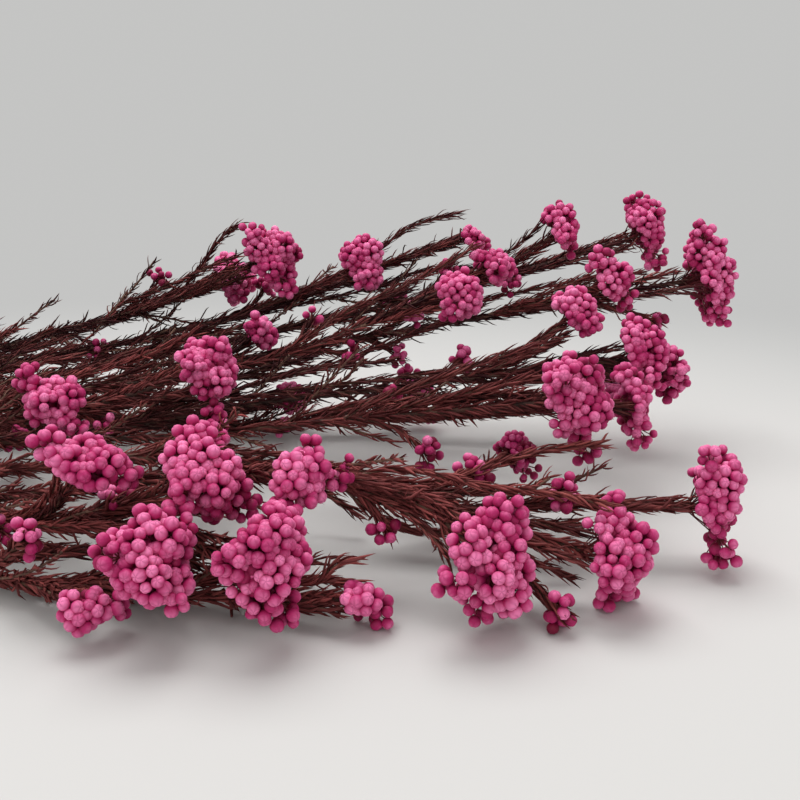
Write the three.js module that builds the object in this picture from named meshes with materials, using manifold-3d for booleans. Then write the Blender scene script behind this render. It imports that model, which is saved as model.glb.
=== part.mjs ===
import * as THREE from 'three';
import { mergeVertices } from 'three/addons/utils/BufferGeometryUtils.js';
import Module from 'manifold-3d';

// A bunch of dried rice flowers lying on a table.
// Millimetres. +X runs from the cut ends to the flowering tips, +Y across the fan, +Z up.
// The origin is on the table, under the middle of the bunch.

const wasm = await Module();
wasm.setup();

// Overall sizes.
const bunchLength = 560;
const fanWidth = 200;
const crownHeight = 100;

// Woody stems, and the shoots that leave them.
const stemCutRadius = 1.7;
const stemTipRadius = 0.8;
const shootRadius = 0.7;
const stemSides = 5;
const stemStep = 42;
const shootStep = 16;
const neckShare = 0.45; // where a stem first bends, between its cut end and its way
const shootLean = 0.4; // how far a shoot keeps to its stem's direction, as a share of its length
const shootTurn = 0.2; // how much of the way to its tip that bend has turned

// Needle leaves, each stem's as one sleeve round it.
const bareLength = 105;
const leafReach = 4.6;
const shootLeafReach = 3.2;
const leafEndReach = 2;
const leafSides = 6;
const leafStep = 40;
const shootLeafSides = 5;

// Flower heads: tight domes of small round blossoms.
const headRadius = 14;
const headKnobs = 0.12;
const socketDepth = 0.45;
const smallHeadShare = 0.85;

// Room between pieces.
const touchGap = 0.3;
const elbowRoom = 0.6;
const beadStep = 8;
const settleRounds = 260;
const weldGap = 1e-4;
const leafSearchStep = 1 / 400; // as a share of the strand

// Each branch: the slot of its cut end, the way of its stem, and its flower heads, the one at the tip
// first. Places are [along, across, up] as shares of the length, of half the width and of the height.
// A head also has its share of headRadius, how tall it is for its width, and where its shoot leaves
// the stem. A twig has the place of its tip, where it leaves, and the room kept round its tip, as a
// share of headRadius, where it ends in a few loose blossoms.
const branches = [
  {
    cut: [0.03, 0.16, 0.07],
    way: [[0.45, 1.0, 0.3], [0.565, 0.96, 0.48]],
    heads: [[0.66, 0.85, 0.69, 1.0, 1.0], [0.62, 0.95, 0.54, 0.9, 0.9, 0.54]],
    twigs: [[0.47, 0.85, 0.42, 0.37, 0]],
  },
  {
    cut: [0.0, 0.12, 0.03],
    way: [[0.455, 0.9, 0.26], [0.6, 0.92, 0.45]],
    heads: [[0.8, 0.95, 0.79, 0.5, 0.9], [0.72, 0.9, 0.67, 0.8, 1.2, 0.62]],
    twigs: [[0.5, 0.8, 0.45, 0.4, 0]],
  },
  {
    cut: [0.02, 0.08, 0.1],
    way: [[0.46, 0.75, 0.22], [0.64, 0.8, 0.41], [0.785, 0.85, 0.59]],
    heads: [[0.925, 0.95, 0.79, 0.65, 1.8], [0.86, 0.8, 0.83, 0.55, 1.7, 0.74]],
  },
  {
    cut: [0.01, 0.08, 0.05],
    way: [[0.47, 0.6, 0.18], [0.68, 0.65, 0.39], [0.835, 0.68, 0.54]],
    heads: [
      [0.96, 0.7, 0.66, 1.0, 1.4],
      [0.89, 0.6, 0.65, 0.65, 1.1, 0.77],
    ],
    twigs: [[0.935, 0.75, 0.47, 0.82, 0.4]],
  },
  {
    cut: [0.04, 0.03, 0.14],
    way: [[0.48, 0.42, 0.25], [0.65, 0.45, 0.38]],
    heads: [
      [0.81, 0.6, 0.71, 0.65, 0.9],
      [0.785, 0.4, 0.65, 0.75, 1.0, 0.68],
      [0.65, 0.55, 0.45, 0.55, 1.0, 0.56],
    ],
  },
  {
    cut: [0.0, 0.04, 0.02],
    way: [[0.485, 0.35, 0.1], [0.685, 0.3, 0.3], [0.8, 0.3, 0.38]],
    heads: [
      [0.9, 0.3, 0.47, 0.7, 1.5],
      [0.86, 0.35, 0.56, 0.6, 1.6, 0.75],
      [0.93, 0.5, 0.33, 0.55, 1.7, 0.78],
    ],
  },
  {
    cut: [0.02, 0.0, 0.09],
    way: [[0.5, 0.05, 0.22], [0.66, 0.0, 0.27], [0.77, -0.15, 0.42]],
    heads: [
      [0.843, -0.28, 0.45, 1.0, 1.3],
      [0.89, 0.05, 0.33, 0.65, 1.2, 0.73],
    ],
    twigs: [[0.745, 0.1, 0.38, 0.64, 0.4]],
  },
  {
    cut: [0.01, -0.04, 0.05],
    way: [[0.52, -0.2, 0.2], [0.665, -0.3, 0.27], [0.765, -0.45, 0.15], [0.86, -0.46, 0.2]],
    heads: [
      [0.915, -0.52, 0.2, 0.75, 1.8],
      [0.815, -0.15, 0.23, 0.55, 1.0, 0.69],
      [0.635, -0.15, 0.27, 0.6, 0.9, 0.54],
    ],
  },
  {
    cut: [0.03, -0.07, 0.1],
    way: [[0.53, -0.4, 0.18], [0.645, -0.55, 0.3], [0.715, -0.62, 0.33], [0.79, -0.68, 0.17]],
    heads: [
      [0.852, -0.8, 0.17, 0.9, 1.2],
      [0.793, -0.93, 0.2, 1.0, 1.2, 0.7],
      [0.697, -0.74, 0.38, 0.7, 0.95, 0.6],
    ],
    twigs: [[0.825, -0.98, 0.07, 0.74, 0.45]],
  },
  {
    cut: [0.0, -0.1, 0.02],
    way: [[0.54, -0.55, 0.18], [0.61, -0.65, 0.25]],
    heads: [
      [0.685, -0.95, 0.3, 1.0, 1.1],
      [0.65, -0.74, 0.3, 0.95, 1.0, 0.56],
      [0.593, -0.72, 0.42, 0.8, 0.8, 0.52],
    ],
  },
  {
    cut: [0.02, -0.15, 0.05],
    way: [[0.545, -0.7, 0.05], [0.625, -0.8, 0.05]],
    heads: [
      [0.727, -0.93, 0.1, 0.5, 0.8],
      [0.636, -1.0, 0.24, 0.9, 1.15, 0.56],
      [0.6, -1.0, 0.1, 0.52, 1.0, 0.5],
    ],
    twigs: [[0.57, -0.88, 0.26, 0.48, 0.45]],
  },
  {
    cut: [0.04, 0.0, 0.16],
    way: [[0.49, 0.2, 0.21], [0.56, 0.15, 0.32]],
    heads: [[0.63, 0.05, 0.47, 0.87, 1.0], [0.545, -0.15, 0.4, 0.8, 0.9, 0.46]],
    twigs: [[0.57, 0.1, 0.32, 0.49, 0.45]],
  },
  {
    cut: [0.01, 0.1, 0.02],
    way: [[0.46, 0.62, 0.05], [0.66, 0.75, 0.07], [0.8, 0.7, 0.12]],
    heads: [
      [0.9, 0.62, 0.2, 0.7, 1.0],
      [0.76, 0.85, 0.14, 0.65, 1.0, 0.66],
      [0.605, 1.0, 0.2, 0.8, 1.0, 0.5],
      [0.665, 0.8, 0.1, 0.6, 1.0, 0.55],
    ],
  },
];

const up = new THREE.Vector3(0, 0, 1);

function place([along, across, height]) {
  return new THREE.Vector3(along * bunchLength, (across * fanWidth) / 2, height * crownHeight);
}

// How far the leaves reach from a main stem's axis, at x along the bunch: none on the bare end.
function leafReachAt(x) {
  const full = bunchLength / 2;
  const spot = THREE.MathUtils.clamp(x, bareLength, full);
  return THREE.MathUtils.mapLinear(spot, bareLength, full, leafEndReach, leafReach);
}

// A strand is a stem or a shoot as a row of beads, which may end in a flower head.
function makeStrand(branch, points, isShoot, head) {
  const curve = new THREE.CatmullRomCurve3(points, false, 'centripetal');
  const rest = curve.getSpacedPoints(Math.max(4, Math.round(curve.getLength() / beadStep)));
  const strand = { branch, isShoot, head, rest, beads: rest.map((point) => point.clone()) };
  strand.reach = rest.map((point) => {
    if (isShoot) return shootLeafReach;
    return point.x < bareLength ? stemCutRadius : leafReachAt(point.x);
  });
  return strand;
}

function makeHead([along, across, height, share, tall]) {
  const radius = share * headRadius;
  const isSmall = share < smallHeadShare;
  return { centre: place([along, across, height]), radius, halfHeight: radius * tall, isSmall };
}

// The stem first, then one shoot for each further flower head and each flowerless twig.
function makeStrands(branch, number) {
  const [tip, ...others] = branch.heads;
  const cut = place(branch.cut);
  const way = branch.way.map(place);
  const neck = cut.clone().lerp(way[0], neckShare);
  const head = makeHead(tip);
  const stem = makeStrand(number, [cut, neck, ...way, head.centre], false, head);
  const shoot = (end, leaves, shootHead, tipRoom = 0) => {
    const x = leaves * bunchLength;
    const knot = stem.rest.findIndex((point) => point.x > x);
    const root = stem.rest[knot];
    const along = stem.rest[knot + 1].clone().sub(root).normalize();
    const bend = root.clone().addScaledVector(along, shootLean * root.distanceTo(end));
    const strand = makeStrand(number, [root, bend.lerp(end, shootTurn), end], true, shootHead);
    strand.reach[strand.reach.length - 1] = Math.max(shootLeafReach, tipRoom * headRadius);
    return Object.assign(strand, { stem, knot });
  };
  const headShoots = others.map((entry) => {
    const shootHead = makeHead(entry);
    return shoot(shootHead.centre, entry[5], shootHead);
  });
  const twigs = (branch.twigs ?? []).map((entry) => shoot(place(entry), entry[3], null, entry[4]));
  return [stem, ...headShoots, ...twigs];
}

// The balls that stand for a strand's leaves and head while the bunch settles.
function ballsOf(strand) {
  const last = strand.rest.length - 1;
  const balls = [];
  strand.reach.forEach((radius, index) => {
    const inHead = strand.head && strand.rest[index].distanceTo(strand.rest[last]) < strand.head.radius;
    if (!inHead) balls.push({ strand, index, lift: 0, radius, isHead: false });
  });
  if (strand.head) {
    const { radius, halfHeight } = strand.head;
    const spare = Math.max(0, halfHeight - radius);
    const lifts = spare > 0 ? [-spare, 0, spare] : [0];
    lifts.forEach((lift) => balls.push({ strand, index: last, lift, radius, isHead: true }));
  }
  return balls;
}

function canTouch(a, b) {
  if (a.strand === b.strand) return false;
  if (a.strand.branch !== b.strand.branch) return true;
  return a.isHead || b.isHead;
}

// Balls that come too close push each other apart, and the push spreads along each strand. Two
// strands' balls may lie half a step out of line, so they keep that much further off.
function settle(strands) {
  const balls = strands.flatMap(ballsOf);
  const pairs = [];
  balls.forEach((a, i) => balls.slice(i + 1).forEach((b) => canTouch(a, b) && pairs.push([a, b])));
  const way = new THREE.Vector3();
  for (let round = 0; round < settleRounds; round += 1) {
    for (const [a, b] of pairs) {
      const beadA = a.strand.beads[a.index];
      const beadB = b.strand.beads[b.index];
      way.subVectors(beadB, beadA);
      way.z += b.lift - a.lift;
      const need = Math.hypot(a.radius + b.radius + touchGap, beadStep / 2) + elbowRoom;
      const distance = way.length();
      if (distance < need) {
        way.multiplyScalar((need - distance) / distance / 2);
        beadB.add(way);
        beadA.sub(way);
      }
    }
    strands.forEach(spread);
    balls.forEach(({ strand, index, lift, radius }) => {
      strand.beads[index].z = Math.max(strand.beads[index].z, radius - lift);
    });
  }
}

// Each bead takes a share of its neighbours' push, and a shoot's root goes where its stem goes.
function spread({ rest, beads, stem, knot }) {
  const shift = beads.map((bead, i) => bead.clone().sub(rest[i]));
  if (stem) shift[0].subVectors(stem.beads[knot], rest[0]);
  beads.forEach((bead, i) => {
    if (i === 0) {
      bead.copy(rest[0]).add(shift[0]);
      return;
    }
    const next = shift[Math.min(i + 1, shift.length - 1)];
    const mean = shift[i].clone().multiplyScalar(2).add(shift[i - 1]).add(next).divideScalar(4);
    bead.copy(rest[i]).add(mean);
  });
}

// A closed tube along a curve, turned as a lathe round +Y and then bent onto the curve.
function bentTube(curve, from, to, sides, steps, radiusAt) {
  const profile = [new THREE.Vector2(0, 0)];
  for (let i = 0; i <= steps; i += 1) {
    profile.push(new THREE.Vector2(radiusAt(i / steps), i / steps));
  }
  profile.push(new THREE.Vector2(0, 1));
  const geometry = new THREE.LatheGeometry(profile, sides);
  const vertices = geometry.attributes.position;
  const vertex = new THREE.Vector3();
  for (let i = 0; i < vertices.count; i += 1) {
    vertex.fromBufferAttribute(vertices, i);
    const share = from + (to - from) * vertex.y;
    const forward = curve.getTangentAt(share);
    const side = new THREE.Vector3().crossVectors(forward, up).normalize();
    const lift = new THREE.Vector3().crossVectors(side, forward);
    const bent = curve.getPointAt(share).addScaledVector(side, vertex.x).addScaledVector(lift, vertex.z);
    vertices.setXYZ(i, bent.x, bent.y, bent.z);
  }
  return solidFrom(geometry);
}

function solidFrom(geometry) {
  geometry.deleteAttribute('normal');
  geometry.deleteAttribute('uv');
  const merged = mergeVertices(geometry, weldGap);
  const corners = merged.index.array;
  const triangles = [];
  for (let i = 0; i < corners.length; i += 3) {
    const [a, b, c] = corners.slice(i, i + 3);
    if (a !== b && b !== c && c !== a) triangles.push(a, b, c);
  }
  return new wasm.Manifold(new wasm.Mesh({
    numProp: 3,
    vertProperties: merged.attributes.position.array,
    triVerts: Uint32Array.from(triangles),
  }));
}

function join(solids) {
  return solids.reduce((whole, solid) => whole.add(solid));
}

function curveOf(strand) {
  return new THREE.CatmullRomCurve3(strand.beads, false, 'centripetal');
}

// Where the wood ends: in the socket of its flower head, or inside the leaves at the tip of a twig.
function woodEnd(strand) {
  const buried = strand.head ? (1 - socketDepth) * strand.head.radius : 2 * leafEndReach;
  return 1 - buried / curveOf(strand).getLength();
}

// A strand's wood, grown all round and past its end where it is the cutter of a bore.
function wood(strand, growth) {
  const curve = curveOf(strand);
  const end = woodEnd(strand);
  const step = strand.isShoot ? shootStep : stemStep;
  const steps = Math.max(2, Math.round((end * curve.getLength()) / step));
  const thick = strand.isShoot ? shootRadius : stemCutRadius;
  const thin = strand.isShoot ? shootRadius : stemTipRadius;
  const radiusAt = (share) => THREE.MathUtils.lerp(thick, thin, share) + growth;
  return bentTube(curve, 0, end + growth / curve.getLength(), stemSides, steps, radiusAt);
}

// Where the leaves stop: just before the flower head, or at the tip of a twig.
function leafEnd(strand) {
  if (!strand.head) return 1;
  const curve = curveOf(strand);
  const margin = touchGap + leafEndReach / 2;
  const wide = strand.head.radius + margin;
  const high = strand.head.halfHeight + margin;
  const centre = strand.beads.at(-1);
  let share = 1;
  const inside = () => {
    const offset = curve.getPointAt(share).sub(centre);
    return Math.hypot(Math.hypot(offset.x, offset.y) / wide, offset.z / high) < 1;
  };
  while (inside()) share -= leafSearchStep;
  return share;
}

function leafSleeve(strand) {
  const curve = curveOf(strand);
  const start = strand.isShoot ? 0 : bareLength / curve.getLength();
  const end = leafEnd(strand);
  const reach = strand.isShoot ? () => shootLeafReach : (share) => leafReachAt(curve.getPointAt(share).x);
  const sides = strand.isShoot ? shootLeafSides : leafSides;
  const step = strand.isShoot ? shootStep : leafStep;
  const steps = Math.max(2, Math.round(((end - start) * curve.getLength()) / step));
  return bentTube(curve, start, end, sides, steps, (share) => {
    if (share === 1) return leafEndReach;
    return reach(THREE.MathUtils.lerp(start, end, share));
  });
}

// A knobbly dome on its own shoot, with a socket for the wood that holds it.
function flowerHead(strand) {
  const { radius, halfHeight, isSmall } = strand.head;
  const dome = new THREE.IcosahedronGeometry(1, isSmall ? 1 : 2);
  dome.deleteAttribute('normal');
  dome.deleteAttribute('uv');
  const knobbly = mergeVertices(dome, weldGap);
  const vertices = knobbly.attributes.position;
  for (let i = 0; i < vertices.count; i += 1) {
    const size = i % 2 ? 1 : 1 - headKnobs;
    vertices.setXYZ(i, vertices.getX(i) * size, vertices.getY(i) * size, vertices.getZ(i) * size);
  }
  const centre = strand.beads.at(-1);
  knobbly.scale(radius, radius, halfHeight);
  knobbly.translate(centre.x, centre.y, centre.z);
  return solidFrom(knobbly).subtract(wood(strand, touchGap));
}

const finishes = {
  wood: { color: '#5a3530', roughness: 0.8, metalness: 0 },
  leaves: { color: '#4a2226', roughness: 0.75, metalness: 0 },
  flowers: { color: '#c8407e', roughness: 0.7, metalness: 0 },
};

const bunch = new THREE.Group();

function addPiece(name, solid, finish) {
  const { vertProperties, triVerts } = solid.getMesh();
  const geometry = new THREE.BufferGeometry();
  geometry.setAttribute('position', new THREE.BufferAttribute(vertProperties, 3));
  geometry.setIndex(new THREE.BufferAttribute(triVerts, 1));
  geometry.computeVertexNormals();
  const mesh = new THREE.Mesh(geometry, new THREE.MeshStandardMaterial(finishes[finish]));
  mesh.name = name;
  bunch.add(mesh);
}

function numbered(name, number) {
  return `${name}_${String(number).padStart(2, '0')}`;
}

const strandsByBranch = branches.map(makeStrands);
settle(strandsByBranch.flat());

let headCount = 0;
strandsByBranch.forEach((strands, index) => {
  const stem = join(strands.map((strand) => wood(strand, 0)));
  const bore = join(strands.map((strand) => wood(strand, touchGap)));
  addPiece(numbered('stem', index + 1), stem, 'wood');
  addPiece(numbered('leaves', index + 1), join(strands.map(leafSleeve)).subtract(bore), 'leaves');
  strands.filter((strand) => strand.head).forEach((strand) => {
    headCount += 1;
    addPiece(numbered('flower_head', headCount), flowerHead(strand), 'flowers');
  });
});

// Stand the bunch on the table, with the origin under the middle.
const extent = new THREE.Box3().setFromObject(bunch);
const middle = extent.getCenter(new THREE.Vector3());
bunch.position.set(-middle.x, -middle.y, -extent.min.z);

export default bunch;
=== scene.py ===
import math

import bpy
import numpy as np
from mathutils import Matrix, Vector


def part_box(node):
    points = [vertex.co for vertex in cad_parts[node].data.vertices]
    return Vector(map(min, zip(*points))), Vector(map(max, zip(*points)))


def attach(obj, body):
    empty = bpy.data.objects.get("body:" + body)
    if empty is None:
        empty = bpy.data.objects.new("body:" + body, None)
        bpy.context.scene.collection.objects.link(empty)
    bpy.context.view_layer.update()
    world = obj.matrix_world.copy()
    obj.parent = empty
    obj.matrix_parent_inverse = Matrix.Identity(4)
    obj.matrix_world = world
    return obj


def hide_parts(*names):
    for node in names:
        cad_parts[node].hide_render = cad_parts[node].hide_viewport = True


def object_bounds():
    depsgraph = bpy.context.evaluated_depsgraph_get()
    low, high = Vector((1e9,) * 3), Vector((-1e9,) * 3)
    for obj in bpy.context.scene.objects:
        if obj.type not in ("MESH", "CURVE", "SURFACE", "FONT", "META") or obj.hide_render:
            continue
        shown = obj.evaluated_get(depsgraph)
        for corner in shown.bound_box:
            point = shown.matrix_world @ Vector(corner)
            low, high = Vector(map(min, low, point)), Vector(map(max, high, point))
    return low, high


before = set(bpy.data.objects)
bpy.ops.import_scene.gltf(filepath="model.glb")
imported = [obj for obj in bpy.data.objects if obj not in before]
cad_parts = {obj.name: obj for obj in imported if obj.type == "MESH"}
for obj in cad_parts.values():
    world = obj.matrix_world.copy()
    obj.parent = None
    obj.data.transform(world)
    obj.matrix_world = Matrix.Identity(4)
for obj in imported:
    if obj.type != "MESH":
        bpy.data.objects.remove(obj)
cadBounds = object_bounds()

# A bunch of dried rice flowers lying on a pale table: woody stems, needle leaves and heads of small
# round blossoms. The stems, leaves and heads are grown along the lines of the frame's own solids.

millimetre = 0.001
goldenTurn = math.pi * (3 - math.sqrt(5))
seeds = {"blossomShapes": 7, "stems": 100, "tufts": 300, "heads": 500, "looseTips": 900}
nodeNames = sorted(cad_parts)
stemNames = [name for name in nodeNames if name.startswith("stem")]
headNames = [name for name in nodeNames if name.startswith("flower_head")]
low, high = (np.array(corner) for corner in cadBounds)
span = high - low


view = {
    "lookAt": (0.76, 0.62, 0.30),  # as shares of the bunch's box
    "distance": 0.42,
    "elevation": 17.0,
    "lens": 51.8,
    "sensorWidth": 36,
    "clipStart": 0.01,
}


def makeCamera():
    target = low + span * np.array(view["lookAt"])
    tilt = math.radians(view["elevation"])
    camera = bpy.data.objects.new("camera", bpy.data.cameras.new("camera"))
    camera.data.lens = view["lens"]
    camera.data.sensor_width = view["sensorWidth"]
    camera.data.clip_start = view["clipStart"]
    camera.location = target + view["distance"] * np.array([0, -math.cos(tilt), math.sin(tilt)])
    camera.rotation_euler = (math.pi / 2 - tilt, 0, 0)
    bpy.context.scene.collection.objects.link(camera)
    bpy.context.scene.camera = camera


makeCamera()
print("camera set")


# a socket that takes arithmetic
class Wire:
    def __init__(self, bench, socket):
        self.bench = bench
        self.socket = socket

    def math(self, operation, *values):
        return self.bench.node("ShaderNodeMath", {"operation": operation}, dict(enumerate(values)))

    def __add__(self, other):
        return self.math("ADD", self, other)

    def __radd__(self, other):
        return self.math("ADD", other, self)

    def __sub__(self, other):
        return self.math("SUBTRACT", self, other)

    def __rsub__(self, other):
        return self.math("SUBTRACT", other, self)

    def __mul__(self, other):
        return self.math("MULTIPLY", self, other)

    def __rmul__(self, other):
        return self.math("MULTIPLY", other, self)


# the nodes of one material or of the world, which all end in its shader
class Bench:
    def __init__(self, owner, shader="Principled BSDF"):
        owner.use_nodes = True
        self.owner = owner
        self.tree = owner.node_tree
        self.shader = self.tree.nodes[shader]

    def put(self, socket, value):
        if isinstance(value, Wire):
            self.tree.links.new(value.socket, socket)
        else:
            socket.default_value = value

    def node(self, kind, settings=None, inputs=None, out=0):
        node = self.tree.nodes.new(kind)
        for key, value in (settings or {}).items():
            if key == "stops":
                self.setStops(node.color_ramp, value)
            else:
                setattr(node, key, value)
        for key, value in (inputs or {}).items():
            self.put(node.inputs[key], value)
        return Wire(self, node.outputs[out])

    def setStops(self, ramp, stops):
        while len(ramp.elements) < len(stops):
            ramp.elements.new(0.5)
        for element, (position, colour) in zip(ramp.elements, stops):
            element.position = position
            element.color = colour if len(colour) == 4 else (*colour, 1)

    def attribute(self, name):
        return self.node("ShaderNodeAttribute", {"attribute_name": name}, out="Fac")

    def place(self):
        return self.node("ShaderNodeTexCoord", out="Object")

    def noise(self, scale, detail=2.0, vector=None):
        inputs = {"Vector": vector or self.place(), "Scale": scale, "Detail": detail}
        return self.node("ShaderNodeTexNoise", None, inputs)

    def ramp(self, value, stops):
        return self.node("ShaderNodeValToRGB", {"stops": stops}, {0: value})

    def mix(self, share, first, second, blend="MIX"):
        settings = {"data_type": "RGBA", "blend_type": blend}
        return self.node("ShaderNodeMix", settings, {0: share, 6: first, 7: second}, out=2)

    def bump(self, height, strength, distance):
        inputs = {"Strength": strength, "Distance": distance, "Height": height}
        return self.node("ShaderNodeBump", None, inputs)

    def finish(self, **values):
        for name, value in values.items():
            self.put(self.shader.inputs[name.replace("_", " ")], value)
        return self.owner


def materialBench(name):
    return Bench(bpy.data.materials.new(name))


barkLook = {
    "dark": (0.030, 0.012, 0.009),
    "mid": (0.095, 0.040, 0.028),
    "pale": (0.210, 0.115, 0.078),
    "stops": (0.35, 0.55, 0.78),  # where the three come in
    "grain": 900,  # noise scales, to the metre
    "patches": 120,
    "relief": (0.5, 0.4 * millimetre),  # strength and depth
    "roughness": 0.82,
}

leafLook = {
    "shade": (0.016, 0.0020, 0.0030),
    "body": (0.070, 0.0110, 0.0150),
    "warm": (0.420, 0.098, 0.092),
    "olive": (0.074, 0.040, 0.026),
    "fadedTones": (0.45, 0.9),  # from where the paler needles turn olive, and fully
    "patches": 60,
    "streaks": 1500,
    "relief": (0.3, 0.2 * millimetre),
    "roughness": 0.75,
    "gloss": 0.15,
}

blossomLook = {
    # deep is painted shade, for the blossoms' feet and sides and the inner layers deep in the head; light is
    # their paler tips, partly their own colour and partly painted highlight
    "deep": (0.170, 0.002, 0.028),
    "body": (0.500, 0.020, 0.145),
    "light": (0.970, 0.240, 0.500),
    # the crease colour is painted shade in the creases between the bracts
    "crease": (0.300, 0.008, 0.075),
    "stalk": (0.150, 0.022, 0.028),
    "stops": (0.04, 0.38, 0.84),
    "creaseShadeShare": 0.45,
    "mottle": 700,
    "fibres": 2200,
    "relief": (0.25, 0.2 * millimetre),
    "roughness": 0.58,
    "gloss": 0.28,
}


def opaque(colour):
    return (*colour, 1)


def stopsOf(look, *names):
    return [(place, look[name]) for place, name in zip(look["stops"], names)]


def barkMaterial():
    bench = materialBench("driedBark")
    grain = bench.noise(barkLook["grain"], 4)
    patches = bench.noise(barkLook["patches"])
    age = bench.attribute("tone")
    value = patches * 0.6 + grain * 0.35 + age * 0.2
    return bench.finish(
        Base_Color=bench.ramp(value, stopsOf(barkLook, "dark", "mid", "pale")),
        Roughness=barkLook["roughness"],
        Normal=bench.bump(grain, *barkLook["relief"]),
    )


def leafMaterial():
    bench = materialBench("driedNeedles")
    tone = bench.attribute("tone")
    along = bench.attribute("along")
    warmth = bench.attribute("warmth")
    patches = bench.noise(leafLook["patches"])
    body = bench.mix(tone, opaque(leafLook["shade"]), opaque(leafLook["body"]))
    faded = bench.mix(patches, body, opaque(leafLook["olive"]))
    paleOnes = bench.ramp(tone, list(zip(leafLook["fadedTones"], ((0, 0, 0), (1, 1, 1)))))
    mixed = bench.mix(paleOnes, body, faded)
    reach = warmth * (0.45 + tone * 0.55) * (0.70 + along * 0.30)
    colour = bench.mix(reach, mixed, opaque(leafLook["warm"]))
    streaks = bench.noise(leafLook["streaks"])
    return bench.finish(
        Base_Color=colour,
        Roughness=leafLook["roughness"],
        Specular_IOR_Level=leafLook["gloss"],
        Normal=bench.bump(streaks, *leafLook["relief"]),
    )


def blossomMaterial():
    bench = materialBench("paperyBlossom")
    # tone is each blossom's random tone, lowered for the inner layers as painted shade
    tone = bench.attribute("tone")
    tip = bench.attribute("tip")
    fold = bench.attribute("fold")
    stalk = bench.attribute("stalk")
    mottle = bench.noise(blossomLook["mottle"], 3)
    # painted light and shade: the tip mark lifts each blossom towards the light colour at its tip, partly
    # its own paler bract tips and partly painted highlight, and leaves its foot and sides in the deep
    # colour, painted shade where the blossoms crowd; the mottle is the paper's own
    shade = tone * 0.30 + tip * (0.15 + tone * 0.75) + mottle * 0.30 - 0.22
    colour = bench.ramp(shade, stopsOf(blossomLook, "deep", "body", "light"))
    # painted shade darkens the creases between the bracts
    creaseShaded = bench.mix(fold * blossomLook["creaseShadeShare"], colour, opaque(blossomLook["crease"]))
    whole = bench.mix(stalk, creaseShaded, opaque(blossomLook["stalk"]))
    fibres = bench.noise(blossomLook["fibres"])
    return bench.finish(
        Base_Color=whole,
        Roughness=blossomLook["roughness"],
        Specular_IOR_Level=blossomLook["gloss"],
        Normal=bench.bump(fibres, *blossomLook["relief"]),
    )


bark = barkMaterial()
needle = leafMaterial()
blossom = blossomMaterial()
print("materials mixed")


# one mesh from arrays, kept above the table
def makePiece(name, material, verts, faces, uvs, marks, replaced):
    mesh = bpy.data.meshes.new(name)
    verts = np.maximum(verts, [-np.inf, -np.inf, 0])
    count = sum(len(face) * face.shape[1] for face in faces)
    loops = np.concatenate([face.ravel() for face in faces]).astype(np.int32)
    totals = np.concatenate([np.full(len(face), face.shape[1]) for face in faces]).astype(np.int32)
    starts = np.concatenate([[0], np.cumsum(totals)[:-1]]).astype(np.int32)
    mesh.vertices.add(len(verts))
    mesh.vertices.foreach_set("co", verts.astype(np.float32).ravel())
    mesh.loops.add(count)
    mesh.loops.foreach_set("vertex_index", loops)
    mesh.polygons.add(len(totals))
    mesh.polygons.foreach_set("loop_start", starts)
    mesh.polygons.foreach_set("loop_total", totals)
    mesh.polygons.foreach_set("use_smooth", np.ones(len(totals), bool))
    layer = mesh.uv_layers.new(name="OFBake")
    flatUvs = np.concatenate([uv.reshape(-1, 2) for uv in uvs])
    layer.uv.foreach_set("vector", flatUvs.astype(np.float32).ravel())
    for key, values in marks.items():
        mark = mesh.attributes.new(key, "FLOAT", "POINT")
        mark.data.foreach_set("value", np.asarray(values, np.float32))
    mesh.materials.append(material)
    mesh.update()
    mesh.validate()
    piece = bpy.data.objects.new(name, mesh)
    bpy.context.scene.collection.objects.link(piece)
    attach(piece, "root")
    if replaced:
        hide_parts(*replaced)


# the lines of the stems are read from the frame's own solids
def trianglesOf(nodeName):
    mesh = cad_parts[nodeName].data
    mesh.calc_loop_triangles()
    corners = np.zeros(len(mesh.vertices) * 3)
    mesh.vertices.foreach_get("co", corners)
    triangles = np.zeros(len(mesh.loop_triangles) * 3, np.int32)
    mesh.loop_triangles.foreach_get("vertices", triangles)
    points, place = np.unique(corners.reshape(-1, 3).round(7), axis=0, return_inverse=True)
    return points, place.reshape(-1)[triangles].reshape(-1, 3)


lineReading = {
    "ringSides": 5,
    "ringReach": 2.3 * millimetre,  # corners nearer than this belong to one ring
    "rimShare": 0.5,  # corners nearer the middle than this share aren't on its rim
    "unevenness": 0.08,  # how far a ring may be from round
    "shootRadius": 0.76 * millimetre,  # rings thinner than this are on a shoot
    "step": 2.0 * millimetre,
}


def groupsOf(count, links):
    owner = np.arange(count)

    def root(i):
        while owner[i] != i:
            owner[i] = owner[owner[i]]
            i = owner[i]
        return i

    for a, b in links:
        owner[root(a)] = root(b)
    return np.array([root(i) for i in range(count)])


def ringsOf(points):
    gaps = np.linalg.norm(points[:, None] - points[None], axis=2)
    owner = groupsOf(len(points), np.argwhere(np.triu(gaps < lineReading["ringReach"], 1)))
    rings = []
    for key in np.unique(owner):
        members = np.flatnonzero(owner == key)
        centre = points[members].mean(0)
        radii = np.linalg.norm(points[members] - centre, axis=1)
        onRim = radii > lineReading["rimShare"] * radii.max()
        rim, radii = members[onRim], radii[onRim]
        if len(rim) != lineReading["ringSides"]:
            continue
        if np.ptp(radii) < lineReading["unevenness"] * radii.mean():
            rings.append({"members": set(members), "centre": points[rim].mean(0), "radius": radii.mean()})
    return rings


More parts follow.
